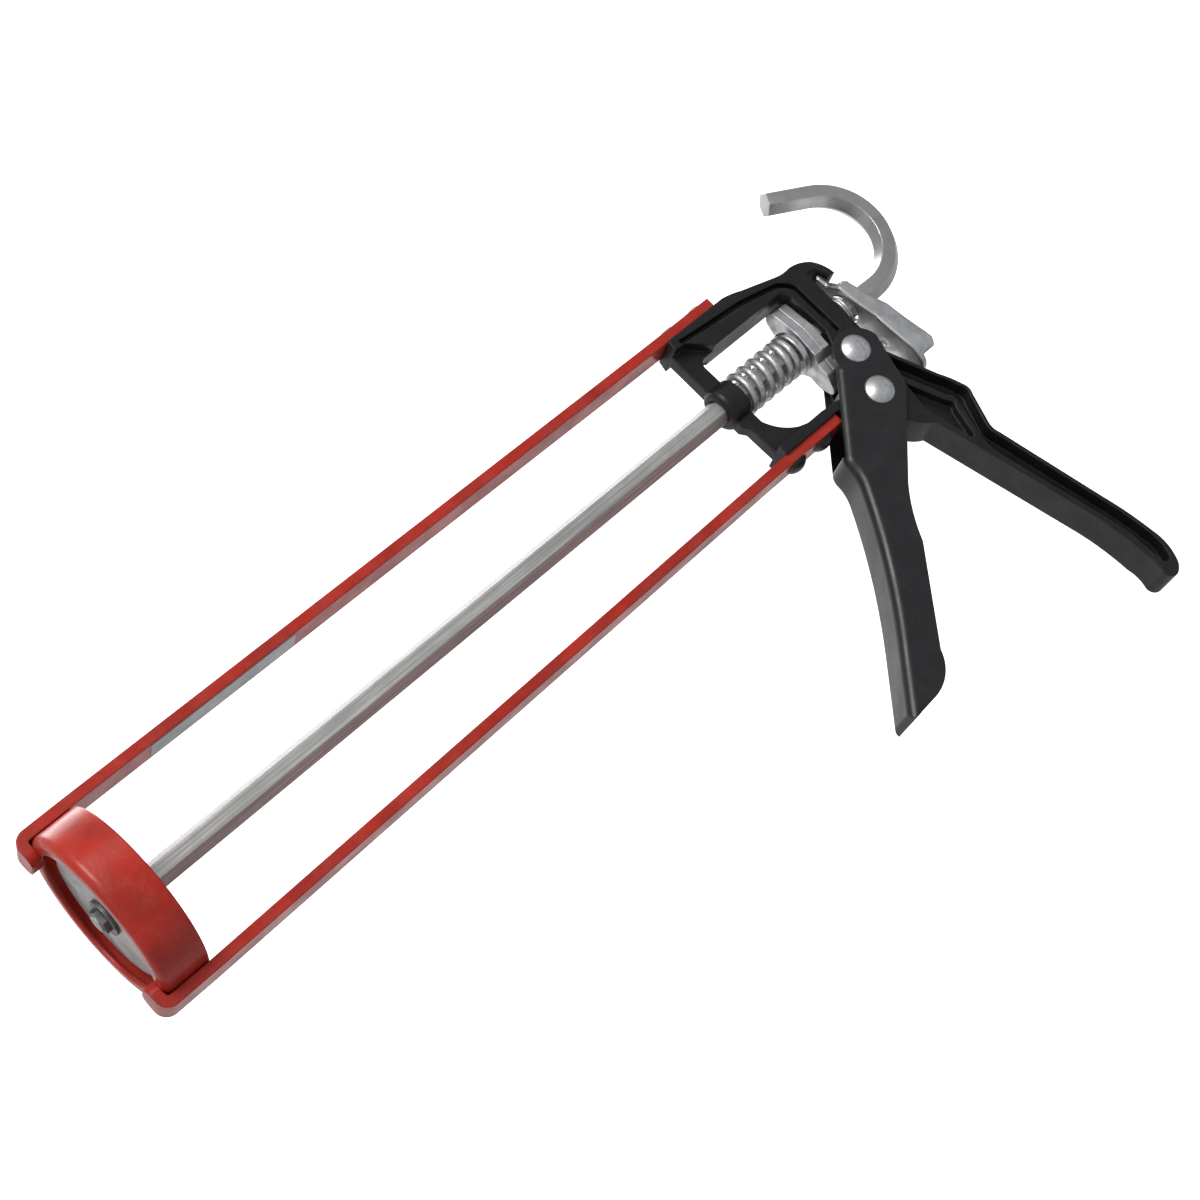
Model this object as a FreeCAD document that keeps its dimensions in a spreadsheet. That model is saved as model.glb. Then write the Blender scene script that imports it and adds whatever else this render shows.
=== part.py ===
import FreeCAD, Part
import Sketcher
import math
import os

# Skeleton-frame caulking gun. Millimetres. X runs along the push rod, from the
# cartridge ring towards the hook, Z is up and the handle hangs down. The origin
# is where the rod's axis crosses the ring's front face.

doc = FreeCAD.newDocument("CaulkingGun")
sheet = doc.addObject("Spreadsheet::Sheet", "Dims")
V = FreeCAD.Vector
AXIS_Y = V(0, 1, 0)

# ---------------------------------------------------------------- dimensions
SIZES = [
    # cartridge ring
    ("ring_depth", 14),
    ("ring_flat_height", 27),
    # rails
    ("rail_width", 10.4),
    ("rail_thickness", 3.2),
    ("rail_tab_end", 21.2),
    ("rail_corner_round", 3.2),
    ("upper_seat_height", 25.3),
    ("lower_seat_height", 23.9),
    # rail rivets
    ("rail_rivet_first", 241.7),
    ("rail_rivet_second", 253.5),
    ("rail_rivet_shank_radius", 2.0),
    ("upper_rivet_grip", 3.2),
    ("lower_rivet_grip", 2.0),
    ("rail_rivet_head_radius", 4.0),
    ("rail_rivet_head_height", 2.2),
    # label
    ("label_start", 40.5),
    ("label_length", 50.4),
    ("label_width", 8.4),
    ("label_thickness", 0.12),
    # push rod
    ("rod_flats", 7.0),
    ("rod_front", 5.8),
    ("rod_bend_start", 306),
    ("hook_radius", 18.7),
    ("hook_angle", 154),
    ("hook_tail", 15.0),
    ("spigot_radius", 2.5),
    ("spigot_front", -0.2),
    # plunger
    ("washer_radius", 5.6),
    ("washer_thickness", 1.0),
    ("nut_flats", 6.6),
    ("nut_thickness", 1.7),
    # casting
    ("casting_width", 12.6),
    ("casting_web", 3.0),
    ("rim_groove_depth", 2.6),
    ("gusset_depth", 3.2),
    ("rod_bore_radius", 4.1),
    ("crossbar_web", 4.4),
    ("boss_radius", 6.9),
    ("boss_front", 235.4),
    ("boss_rear", 242.8),
    ("boss_round", 2.0),
    # pivots
    ("pivot_x", 275.9),
    ("pivot_z", -27.6),
    ("pivot_radius", 3.0),
    ("pin_x", 280.5),
    ("pin_z", -13.3),
    ("pin_radius", 2.5),
    ("pin_slot_height", 7.0),
    ("pin_slot_rise", 0.2),
    ("pin_slot_front", 266),
    ("pin_slot_rear", 284.5),
    ("roller_radius", 5),
    ("roller_length", 8),
    ("roller_slot_width", 8.6),
    ("roller_slot_low", -19.1),
    ("roller_slot_high", -7.2),
    ("roller_slot_rear", 286.8),
    ("running_gap", 0.06),
    ("side_gap", 0.2),
    # trigger
    ("trigger_sheet", 1.5),
    ("trigger_bend", 3),
    # drive plates, seat and spring
    ("plate_thickness", 3.1),
    ("plate_tilt", 6.0),
    ("plate_rear", 276.7),
    ("plate_gap", 0.02),
    ("plate_hole_radius", 4.7),
    ("seat_radius", 7.3),
    ("seat_x", 266.8),
    ("seat_thickness", 2.2),
    ("seat_round", 0.5),
    ("spring_gap", 0.05),
    ("drive_spring_radius", 5.9),
    ("drive_spring_wire", 2.3),
    ("drive_spring_turns", 6),
    # release lever and spring
    ("lever_sheet", 1.8),
    ("lever_width", 15.8),
    ("lever_hole_radius", 5.4),
    ("lever_hang_hole_radius", 1.3),
    ("lever_hang_hole_z", -16.0),
    ("release_spring_radius", 5.4),
    ("release_spring_wire", 0.9),
    ("release_spring_turns", 2.5),
    ("release_spring_end", 292.0),
    ("column_rear", 288.6),
    # length of the tools that cut right through
    ("cut_length", 120),
]

# Side outlines. Each row is a corner's name, its X and Z, and the radius of the
# arc that leads to the next corner: 0 is a straight line. The outlines run
# clockwise, a negative radius bulges outwards and a positive one inwards.
CASTING = [
    ("brow_front", 237.4, 25.3, 0),
    ("brow_rear", 261.2, 25.3, -30),
    ("slope_top", 267.9, 23.5, 0),
    ("slope_foot", 279.9, 20.1, 14),
    ("hump_front", 285.7, 19.7, -12),
    ("hump_rear", 293.1, 16.9, -12),
    ("claw_tip", 296.2, 9.6, 0),
    ("claw_inner", 294.4, 10.0, 10),
    ("notch_top", 291.3, 15.1, 0),
    ("notch_front", 288.7, 14.7, 0),
    ("column_rear", 288.1, -13.6, 0),
    ("neck_rear", 288.3, -19.1, 0),
    ("back_high", 295.8, -35.4, -30),
    ("knee_top", 299.1, -42.2, -4.5),
    ("knee_low", 299.1, -47.0, 0),
    ("waist_top", 295.8, -56.3, 6),
    ("waist_low", 295.8, -60.9, 0),
    ("back_low", 304.6, -95.8, -120),
    ("heel_top", 308.3, -114.0, -18),
    ("heel_low", 307.2, -124.6, -6),
    ("toe_rear", 303.2, -128.4, -3.2),
    ("toe_front", 300.2, -124.9, 14),
    ("palm_low", 300.4, -116.9, 90),
    ("palm_mid", 297.8, -99.2, 0),
    ("palm_high", 282.9, -46.0, -12),
    ("chin_rear", 275.9, -37.5, -12),
    ("chin_front", 266.5, -32.1, -14),
    ("throat", 261.8, -23.9, 0),
    ("sill_front", 238.4, -23.9, 0),
    ("sill_corner", 238.0, -10.4, 0),
    ("crossbar_low", 236.4, -8.4, 0),
    ("crossbar_high", 236.4, 20.6, 0),
]
WINDOW = [
    ("upper_front", 244.8, 15.3, 0),
    ("upper_rear", 275.7, 15.3, -3),
    ("column_top", 278.8, 12.3, 0),
    ("column_low", 278.8, -2.7, 0),
    ("step_low", 276.6, -7.7, 0),
    ("slant_top", 273.8, -11.2, 0),
    ("slant_low", 269.2, -19.0, -5),
    ("floor_rear", 263.9, -21.5, -45),
    ("floor_front", 250.4, -19.2, -16),
    ("front_low", 242.6, -10.9, 0),
    ("front_high", 242.2, 12.7, -2.6),
]
CROSSBAR_SIDE = [
    ("front_high", 230.0, 21.6, 0),
    ("arm_high", 241.0, 21.6, 0),
    ("window_high", 249.5, 14.0, 0),
    ("window_low", 262.0, -16.5, 0),
    ("arm_low", 262.0, -20.9, 0),
    ("front_low", 230.0, -20.9, 0),
]
RIM_GROOVE = [
    ("outer_start", 240.0, 23.5, 0),
    ("outer_saddle", 248.7, 22.7, 0),
    ("outer_slope", 264.8, 21.4, 0),
    ("outer_turn", 276.8, 19.0, -8),
    ("outer_drop", 282.9, 13.7, 0),
    ("outer_end", 282.9, -5.1, 0),
    ("inner_end", 281.3, -5.1, 0),
    ("inner_drop", 281.3, 13.3, 7),
    ("inner_turn", 275.9, 17.3, 0),
    ("inner_slope", 264.4, 19.6, 0),
    ("inner_saddle", 248.2, 21.0, 0),
    ("inner_start", 239.8, 21.9, 0),
]
HANDLE_GROOVE = [
    ("rim_start", 288.2, -21.4, 0),
    ("rim_high", 294.9, -35.5, -24),
    ("rim_knee_top", 298.0, -42.3, -3.4),
    ("rim_knee_low", 298.0, -46.9, 0),
    ("rim_waist_top", 294.6, -56.2, 7),
    ("rim_waist_low", 294.6, -61.1, 0),
    ("rim_low", 303.5, -96.0, -118),
    ("rim_heel", 307.1, -114.1, -16),
    ("rim_tip", 305.9, -123.0, -1.8),
    ("rib_tip", 302.9, -122.7, 0),
    ("rib_heel", 302.5, -116.4, 60),
    ("rib_low", 299.7, -99.8, 0),
    ("rib_waist", 291.1, -69.0, -20),
    ("rib_waist_top", 290.6, -56.9, 0),
    ("rib_knee", 293.4, -45.9, 3),
    ("rib_high", 292.3, -41.9, 0),
    ("rib_start", 285.5, -27.3, 0),
]
GUSSET = [
    ("corner_top", 285.0, -30.7, 0),
    ("corner_knee", 291.0, -43.3, -2),
    ("corner_below_knee", 291.3, -46.7, 0),
    ("corner_waist", 288.9, -56.5, -1.5),
    ("corner_palm", 287.4, -56.3, 0),
    ("corner_chin", 283.3, -41.3, 0),
]
TRIGGER = [
    ("crown_front", 272.3, -12.0, -8.8),
    ("crown_rear", 289.2, -14.0, 0),
    ("neck_rear", 285.5, -26.1, -12),
    ("shoulder_rear", 280.0, -35.1, 0),
    ("upper_rear", 259.0, -54.7, 60),
    ("middle_rear", 248.4, -70.1, 0),
    ("lower_rear", 226.6, -96.6, -14),
    ("heel", 214.4, -105.3, 0),
    ("tip", 205.4, -105.8, -2.5),
    ("nose", 205.139, -103.259, 0),
    ("lower_front", 220.0, -86.1, 230),
    ("upper_front", 247.714, -46.286, 16),
    ("brow_low", 249.684, -39.081, -5),
    ("brow_high", 250.952, -35.906, 0),
]
TRIGGER_HOLLOW = [
    ("top_front", 240.1, 0.3, 0),
    ("top_rear", 304.7, 0.3, 0),
    ("low_rear", 304.7, -120.0, 0),
    ("low_front", 206.273, -119.100, 0),
    ("nose", 206.273, -104.241, 0),
    ("lower_front", 221.134, -87.082, 231.5),
    ("upper_front", 249.029, -47.009, 17.5),
    ("brow_low", 251.183, -39.127, -3.5),
    ("brow_high", 252.071, -36.905, 0),
    ("web_edge", 245.7, -28.0, 0),
]
LEVER = [
    ("tongue_crest", 292.4, 12.75, -0.85),
    ("tongue_rear", 293.25, 11.9, 0),
    ("shoulder_rear", 293.8, 8.3, 0),
    ("flange_top", 295.7, 6.5, 60),
    ("flange_middle", 300.3, -8.6, 130),
    ("flange_low", 303.2, -25.5, -6),
    ("flange_end", 298.1, -30.5, 0),
    ("web_low", 296.0, -30.5, -200),
    ("web_middle", 294.2, -9.0, -90),
    ("web_top", 291.9, 7.9, 0),
    ("tongue_front", 291.55, 11.9, -0.85),
]
LEVER_DISH = [
    ("top_front", 293.9, 8.2, 0),
    ("top_rear", 308.1, 8.2, 0),
    ("low_rear", 308.1, -32.5, 0),
    ("low_front", 298.1, -32.5, -200),
    ("middle_front", 296.1, -8.6, -90),
]
LEVER_FACE = [
    ("tongue_left", -4.2, 14.0, 0),
    ("tongue_right", 4.2, 14.0, 0),
    ("tongue_foot_right", 4.2, 8.4, 0),
    ("shoulder_right", 7.9, 4.6, 0),
    ("thumb_right", 7.9, -22.8, -7.9),
    ("thumb_low", 0.0, -30.7, -7.9),
    ("thumb_left", -7.9, -22.8, 0),
    ("shoulder_left", -7.9, 4.6, 0),
    ("tongue_foot_left", -4.2, 8.4, 0),
]
PLATE = [
    ("leg_low_left", -1.6, -17.4, 0),
    ("leg_left", -3.9, -13.4, 0),
    ("leg_top_left", -3.9, -9.0, 0),
    ("shoulder_left", -6.1, -6.5, 0),
    ("side_left", -6.1, 2.0, 0),
    ("top_left", -2.9, 12.5, -3.6),
    ("top_right", 2.9, 12.5, 0),
    ("side_right", 6.1, 2.0, 0),
    ("shoulder_right", 6.1, -6.5, 0),
    ("leg_top_right", 3.9, -9.0, 0),
    ("leg_right", 3.9, -13.4, 0),
    ("leg_low_right", 1.6, -17.4, -1.8),
]
PIVOT_PROFILE = [
    ("head_left", -9.9, 0.0, 0),
    ("flat_left", -9.9, 0.9, -7.1),
    ("edge_left", -8.06, 4.8, 0),
    ("foot_left", -8.06, 3.0, 0),
    ("foot_right", 8.06, 3.0, 0),
    ("edge_right", 8.06, 4.8, -7.1),
    ("flat_right", 9.9, 0.9, 0),
    ("head_right", 9.9, 0.0, 0),
]
PIN_PROFILE = [
    ("head_left", -9.9, 0.0, 0),
    ("flat_left", -9.9, 0.9, -7.1),
    ("edge_left", -8.06, 4.8, 0),
    ("foot_left", -8.06, 2.5, 0),
    ("foot_right", 8.06, 2.5, 0),
    ("edge_right", 8.06, 4.8, -7.1),
    ("flat_right", 9.9, 0.9, 0),
    ("head_right", 9.9, 0.0, 0),
]
RING = [
    ("rear_out", 14.0, 27.1, 0),
    ("rear_in", 14.0, 25.7, 0),
    ("lip_in", 2.5, 25.7, 1.1),
    ("lip_back", 1.4, 24.6, 0),
    ("nose_back", 1.4, 22.6, -0.71),
    ("nose_front", 0.0, 22.6, 0),
    ("front_flat", 0.0, 24.7, -2.4),
    ("front_out", 2.4, 27.1, 0),
]
PLUNGER = [
    ("hub_front", 3.0, 2.55, 0),
    ("face_edge", 3.0, 19.2, -1.8),
    ("rim_front", 4.8, 21.0, 0),
    ("rim_rear", 7.0, 21.0, 0),
    ("rim_inside", 7.0, 19.5, 0),
    ("corner_inside", 5.4, 19.5, 0.9),
    ("back_edge", 4.5, 18.6, 0),
    ("hub_rear", 4.5, 2.55, 0),
]
UPPER_RAIL = [
    ("tab_back", 0.0, 21.2, 0),
    ("tab_front", -3.2, 21.2, 0),
    ("bend_front", -3.2, 26.2, -4.0),
    ("bend_top", 0.8, 30.2, 0),
    ("ring_end", 14.5, 30.2, 0),
    ("seat_start", 231.0, 28.5, 0),
    ("rear_top", 258.2, 28.5, 0),
    ("rear_low", 258.2, 25.3, 0),
    ("seat_inner", 231.0, 25.3, 0),
    ("ring_inner", 14.5, 27.0, 0),
    ("corner_top", 0.8, 27.0, 0.8),
    ("corner_front", 0.0, 26.2, 0),
]
LOWER_RAIL = [
    ("tab_back", 0.0, -21.2, 0),
    ("corner_front", 0.0, -26.2, 0.8),
    ("corner_low", 0.8, -27.0, 0),
    ("ring_inner", 14.5, -27.0, 0),
    ("seat_inner", 232.0, -23.9, 0),
    ("rear_top", 260.5, -23.9, 0),
    ("rear_low", 260.5, -27.1, 0),
    ("seat_start", 232.0, -27.1, 0),
    ("ring_end", 14.5, -30.2, 0),
    ("bend_low", 0.8, -30.2, -4.0),
    ("bend_front", -3.2, -26.2, 0),
    ("tab_front", -3.2, -21.2, 0),
]
OUTLINES = {
    "casting": CASTING,
    "window": WINDOW,
    "crossbar_side": CROSSBAR_SIDE,
    "rim_groove": RIM_GROOVE,
    "handle_groove": HANDLE_GROOVE,
    "gusset": GUSSET,
    "trigger": TRIGGER,
    "trigger_hollow": TRIGGER_HOLLOW,
    "lever": LEVER,
    "lever_dish": LEVER_DISH,
    "lever_face": LEVER_FACE,
    "plate": PLATE,
    "pivot_rivet": PIVOT_PROFILE,
    "pin_rivet": PIN_PROFILE,
    "ring": RING,
    "plunger": PLUNGER,
    "upper_rail": UPPER_RAIL,
    "lower_rail": LOWER_RAIL,
}

row_number = 1


def cell(alias, value):
    """Adds one named dimension to the sheet."""
    global row_number
    sheet.set("A%d" % row_number, alias)
    sheet.set("B%d" % row_number, "%g" % value)
    sheet.setAlias("B%d" % row_number, alias)
    row_number += 1


for alias, value in SIZES:
    cell(alias, value)
for part_word, corners in OUTLINES.items():
    for word, x, z, bulge in corners:
        cell("%s_%s_x" % (part_word, word), x)
        cell("%s_%s_z" % (part_word, word), z)
        if bulge:
            cell("%s_%s_arc" % (part_word, word), abs(bulge))
doc.recompute()


def dim(alias):
    """The sheet's value of a dimension."""
    return float(sheet.get(alias))


def arc_centre(start, end, radius, side):
    """Centre of the arc of a radius from start to end; side 1 bulges left, -1 right."""
    middle = (start + end) * 0.5
    chord = end - start
    half = chord.Length / 2
    rise = math.sqrt(max(radius * radius - half * half, 0))
    left = V(-chord.y, chord.x, 0).normalize()
    return middle - left * (rise * side)


def outline_sketch(name, corners, prefix):
    """A closed outline on the XZ plane, its corners and arcs bound to the sheet."""
    sketch = doc.addObject("Sketcher::SketchObject", name)
    sketch.Placement = FreeCAD.Placement(V(0, 0, 0), FreeCAD.Rotation(V(1, 0, 0), 90))
    points = [V(x, z, 0) for word, x, z, bulge in corners]
    count = len(points)
    first_ends = []
    for i in range(count):
        word, x, z, bulge = corners[i]
        start = points[i]
        end = points[(i + 1) % count]
        if bulge:
            side = 1 if bulge < 0 else -1
            centre = arc_centre(start, end, abs(bulge), side)
            angle_start = math.atan2(start.y - centre.y, start.x - centre.x)
            angle_end = math.atan2(end.y - centre.y, end.x - centre.x)
            circle = Part.Circle(centre, V(0, 0, 1), abs(bulge))
            # the short way round is the one that is drawn
            sweep = (angle_end - angle_start) % (2 * math.pi)
            if sweep < math.pi:
                arc = Part.ArcOfCircle(circle, angle_start, angle_end)
                ends = (1, 2)
            else:
                arc = Part.ArcOfCircle(circle, angle_end, angle_start)
                ends = (2, 1)
            index = sketch.addGeometry(arc, False)
            label = "%s_%s_arc" % (prefix, word)
            number = sketch.addConstraint(Sketcher.Constraint("Radius", index, abs(bulge)))
            sketch.setExpression("Constraints[%d]" % number, "Dims." + label)
        else:
            index = sketch.addGeometry(Part.LineSegment(start, end), False)
            ends = (1, 2)
        first_ends.append((index, ends))
    for i in range(count):
        word = corners[i][0]
        index, ends = first_ends[i]
        before, before_ends = first_ends[i - 1]
        sketch.addConstraint(Sketcher.Constraint("Coincident", before, before_ends[1], index, ends[0]))
        for direction, letter, value in (("DistanceX", "x", points[i].x), ("DistanceY", "z", points[i].y)):
            number = sketch.addConstraint(
                Sketcher.Constraint(direction, -1, 1, index, ends[0], value)
            )
            sketch.setExpression(
                "Constraints[%d]" % number, "Dims.%s_%s_%s" % (prefix, word, letter)
            )
    doc.recompute()
    return sketch


def slab(name, sketch, width):
    """The outline given a width along Y, half on each side of the XZ plane."""
    body = doc.addObject("Part::Extrusion", name)
    body.Base = sketch
    body.DirMode = "Custom"
    body.Dir = AXIS_Y
    body.setExpression("LengthFwd", width)
    body.Solid = True
    body.Symmetric = True
    doc.recompute()
    return body


def cylinder(name, radius, length, place):
    """A cylinder, its radius and length bound to the sheet."""
    body = doc.addObject("Part::Cylinder", name)
    body.setExpression("Radius", radius)
    body.setExpression("Height", length)
    body.Placement = place
    doc.recompute()
    return body


def box(name, sizes, corner):
    """A box with three bound edge lengths and a bound corner."""
    body = doc.addObject("Part::Box", name)
    for side, text in zip(("Length", "Width", "Height"), sizes):
        body.setExpression(side, text)
    for letter, text in zip("xyz", corner):
        body.setExpression(".Placement.Base." + letter, text)
    doc.recompute()
    return body


def cut(name, base, tools):
    """The base less each tool in turn."""
    body = base
    for i, tool in enumerate(tools):
        last = i == len(tools) - 1
        result = doc.addObject("Part::Cut", name if last else "%s_cut%d" % (name, i))
        result.Base = body
        result.Tool = tool
        doc.recompute()
        body = result
    return body


def fuse(name, pieces):
    """Several shapes made into one solid."""
    body = doc.addObject("Part::MultiFuse", name)
    body.Shapes = pieces
    body.Refine = True
    doc.recompute()
    return body


def along_x(x, y=0.0, z=0.0):
    """A placement that turns a Z axis to run along +X from a point."""
    return FreeCAD.Placement(V(x, y, z), FreeCAD.Rotation(AXIS_Y, 90))


def along_y(x, y, z):
    """A placement that turns a Z axis to run along -Y from a point."""
    return FreeCAD.Placement(V(x, y, z), FreeCAD.Rotation(V(1, 0, 0), 90))


finished = []
cut_length = "Dims.cut_length"
reach = dim("cut_length") / 2


def finish_node(body, label):
    """Names a finished sub-part and lists it for export."""
    body.Label = label
    finished.append(body)
    return body


def turned(name, sketch):
    """A section turned once round the rod's axis."""
    body = doc.addObject("Part::Revolution", name)
    body.Source = sketch
    body.Axis = V(1, 0, 0)
    body.Base = V(0, 0, 0)
    body.Angle = 360.0
    body.Solid = True
    doc.recompute()
    return body


def domed_head(name, foot, turn, radius, height):
    """A rivet head on its foot: a low cylinder under a cap of the same radius."""
    lip = cylinder(name + "_lip", radius, height, FreeCAD.Placement(foot, turn))
    ball = doc.addObject("Part::Sphere", name + "_ball")
    ball.setExpression("Radius", "(%s ^ 2 + %s ^ 2) / (2 * %s)" % (radius, height, height))
    doc.recompute()
    away = turn.multVec(V(0, 0, 1))
    ball.Placement = FreeCAD.Placement(
        foot + away * (lip.Height.Value - ball.Radius.Value), FreeCAD.Rotation()
    )
    head = doc.addObject("Part::Common", name)
    head.Base = lip
    head.Tool = ball
    doc.recompute()
    return head


def rounded(name, base, radius, wanted):
    """The base with a fillet on each edge that wanted() picks."""
    picked = []
    for i, edge in enumerate(base.Shape.Edges):
        if wanted(edge):
            picked.append((i + 1, radius, radius))
    body = doc.addObject("Part::Fillet", name)
    body.Base = base
    body.Edges = picked
    doc.recompute()
    return body


def coil(name, start, end, radius, wire, turns):
    """A compression spring along X with a closed turn at each end."""
    tight = wire * 1.04
    first = start + wire / 2
    last = end - wire / 2
    open_run = (last - first) - 2 * tight
    open_turns = turns - 2
    steps = 24
    points = []
    for i in range(int(turns * steps) + 1):
        turn = i / steps
        if turn < 1:
            x = first + tight * turn
        elif turn > turns - 1:
            x = last - tight * (turns - turn)
        else:
            x = first + tight + open_run * (turn - 1) / open_turns
        angle = 2 * math.pi * turn
        points.append(V(x, radius * math.sin(angle), radius * math.cos(angle)))
    curve = Part.BSplineCurve()
    curve.interpolate(points)
    path = Part.Wire([curve.toShape()])
    tangent = curve.tangent(curve.FirstParameter)[0]
    section = Part.Wire([Part.Circle(points[0], tangent, wire / 2).toShape()])
    body = doc.addObject("Part::Feature", name)
    body.Shape = path.makePipeShell([section], True, True)
    return body


# --------------------------------------------------------------------- frame
outlines = {}
for part_word, corners in OUTLINES.items():
    outlines[part_word] = outline_sketch(part_word + "_outline", corners, part_word)

ring_turned = turned("ring_turned", outlines["ring"])
flats = []
for word, low in (("upper", "Dims.ring_flat_height"), ("lower", "-Dims.ring_flat_height - 2")):
    flats.append(
        box(
            "ring_flat_" + word,
            ("Dims.ring_depth + 2", "Dims.rail_width + 2", "2"),
            ("-1", "-Dims.rail_width / 2 - 1", low),
        )
    )
finish_node(cut("ring", ring_turned, flats), "front_ring")

rivet_places = []
for station in ("rail_rivet_first", "rail_rivet_second"):
    rivet_places.append(dim(station))


def rail(word):
    """One rail strip, its tab's corners rounded and its rivet holes cut."""
    strip = slab(word + "_strip", outlines[word], "Dims.rail_width")
    tab_end = dim("rail_tab_end")

    def tab_corner(edge):
        ends = [v.Point for v in edge.Vertexes]
        return all(abs(abs(p.z) - tab_end) < 0.01 and p.x < 1 for p in ends) and (
            abs(ends[0].y - ends[-1].y) < 0.01
        )

    strip = rounded(word + "_round", strip, dim("rail_corner_round"), tab_corner)
    holes = []
    for i, x in enumerate(rivet_places):
        holes.append(
            cylinder(
                "%s_hole%d" % (word, i),
                "Dims.rail_rivet_shank_radius",
                cut_length,
                FreeCAD.Placement(V(x, 0, -reach), FreeCAD.Rotation()),
            )
        )
    return cut(word, strip, holes)


finish_node(rail("upper_rail"), "upper_rail")
finish_node(rail("lower_rail"), "lower_rail")


def rail_rivets(word, seat, grip, side):
    """The pair of rivets that hold one rail to the casting."""
    turn = FreeCAD.Rotation(V(1, 0, 0), 0 if side > 0 else 180)
    pieces = []
    for i, x in enumerate(rivet_places):
        foot = V(x, 0, side * (dim(seat) + dim("rail_thickness")))
        head = domed_head(
            "%s_head%d" % (word, i),
            foot,
            turn,
            "Dims.rail_rivet_head_radius",
            "Dims.rail_rivet_head_height",
        )
        inner = foot - V(0, 0, side * (dim("rail_thickness") + dim(grip)))
        shank = cylinder(
            "%s_shank%d" % (word, i),
            "Dims.rail_rivet_shank_radius",
            "Dims.rail_thickness + Dims." + grip,
            FreeCAD.Placement(inner, turn),
        )
        pieces.append(fuse("%s_one%d" % (word, i), [head, shank]))
    pair = doc.addObject("Part::Compound", word)
    pair.Links = pieces
    doc.recompute()
    return pair


RIVET_ROWS = [
    ("upper", "upper_seat_height", "upper_rivet_grip", 1),
    ("lower", "lower_seat_height", "lower_rivet_grip", -1),
]
for word, seat_name, grip_name, side in RIVET_ROWS:
    node = word + "_rail_rivets"
    finish_node(rail_rivets(node, seat_name, grip_name, side), node)

slope = math.atan2(
    dim("upper_rail_ring_inner_z") - dim("upper_rail_seat_inner_z"),
    dim("upper_rail_seat_inner_x") - dim("upper_rail_ring_inner_x"),
)
label = doc.addObject("Part::Box", "label")
label.setExpression("Length", "Dims.label_length")
label.setExpression("Width", "Dims.label_width")
label.setExpression("Height", "Dims.label_thickness")
label_drop = (dim("label_start") - dim("upper_rail_ring_inner_x")) * math.tan(slope)
label.Placement = FreeCAD.Placement(
    V(
        dim("label_start"),
        -dim("label_width") / 2,
        dim("upper_rail_ring_inner_z") - label_drop - dim("label_thickness"),
    ),
    FreeCAD.Rotation(AXIS_Y, math.degrees(slope)),
)
finish_node(label, "rail_label")

# ------------------------------------------------------------------- casting
casting_blank = slab("casting_blank", outlines["casting"], "Dims.casting_width")
boss_bar = cylinder(
    "boss_bar",
    "Dims.boss_radius",
    "Dims.boss_rear - Dims.boss_front",
    along_x(dim("boss_front")),
)


def boss_front_edge(edge):
    """Picks the boss's round front edge."""
    return edge.Closed and abs(edge.Vertexes[0].Point.x - dim("boss_front")) < 0.01


boss = rounded("rod_boss", boss_bar, dim("boss_round"), boss_front_edge)
window_tool = slab("window_tool", outlines["window"], "Dims.casting_width + 2")


def side_pockets(name, sketch, web):
    """The same pocket from both sides, leaving a web of metal between them."""
    through = slab(name + "_through", sketch, "Dims.casting_width + 2")
    core = slab(name + "_core", sketch, web)
    return cut(name, through, [core])


crossbar_sides = side_pockets("crossbar_sides", outlines["crossbar_side"], "Dims.crossbar_web")
casting_loop = cut("casting_loop", casting_blank, [window_tool, crossbar_sides])
casting_bossed = fuse("casting_bossed", [casting_loop, boss])
tools = [
    side_pockets(
        "rim_pocket", outlines["rim_groove"], "Dims.casting_width - 2 * Dims.rim_groove_depth"
    ),
    side_pockets("handle_pocket", outlines["handle_groove"], "Dims.casting_web"),
    side_pockets(
        "gusset_pocket", outlines["gusset"], "Dims.casting_width - 2 * Dims.gusset_depth"
    ),
    cylinder("rod_bore", "Dims.rod_bore_radius", cut_length, along_x(dim("boss_front") - reach)),
    cylinder(
        "pivot_bore",
        "Dims.pivot_radius",
        cut_length,
        along_y(dim("pivot_x"), reach, dim("pivot_z")),
    ),
    box(
        "pin_slot",
        (
            "Dims.pin_slot_rear - Dims.pin_slot_front",
            "Dims.casting_width + 2",
            "Dims.pin_slot_height",
        ),
        (
            "Dims.pin_slot_front",
            "-Dims.casting_width / 2 - 1",
            "Dims.pin_z + Dims.pin_slot_rise - Dims.pin_slot_height / 2",
        ),
    ),
    box(
        "roller_slot",
        (
            "Dims.roller_slot_rear - Dims.pin_slot_front",
            "Dims.roller_slot_width",
            "Dims.roller_slot_high - Dims.roller_slot_low",
        ),
        ("Dims.pin_slot_front", "-Dims.roller_slot_width / 2", "Dims.roller_slot_low"),
    ),
]
for i, x in enumerate(rivet_places):
    for word, seat_name, grip_name, side in RIVET_ROWS:
        inner = side * (dim(seat_name) - dim(grip_name))
        turn = FreeCAD.Rotation(V(1, 0, 0), 0 if side > 0 else 180)
        tools.append(
            cylinder(
                "%s_rivet_bore%d" % (word, i),
                "Dims.rail_rivet_shank_radius",
                "Dims.%s + 5" % grip_name,
                FreeCAD.Placement(V(x, 0, inner), turn),
            )
        )
finish_node(cut("casting", casting_bossed, tools), "handle_body")

# ------------------------------------------------------------------- pivots
cheek = dim("casting_width") / 2 + dim("side_gap") + dim("trigger_sheet")


def cross_rivet(sketch, word):
    """A rivet through both of the trigger's cheeks, domed at each end."""
    body = turned(word + "_rivet_body", sketch)
    body.Placement = FreeCAD.Placement(
        V(dim(word + "_x"), 0, dim(word + "_z")), FreeCAD.Rotation(V(0, 0, 1), 90)
    )
    doc.recompute()
    return body


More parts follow.
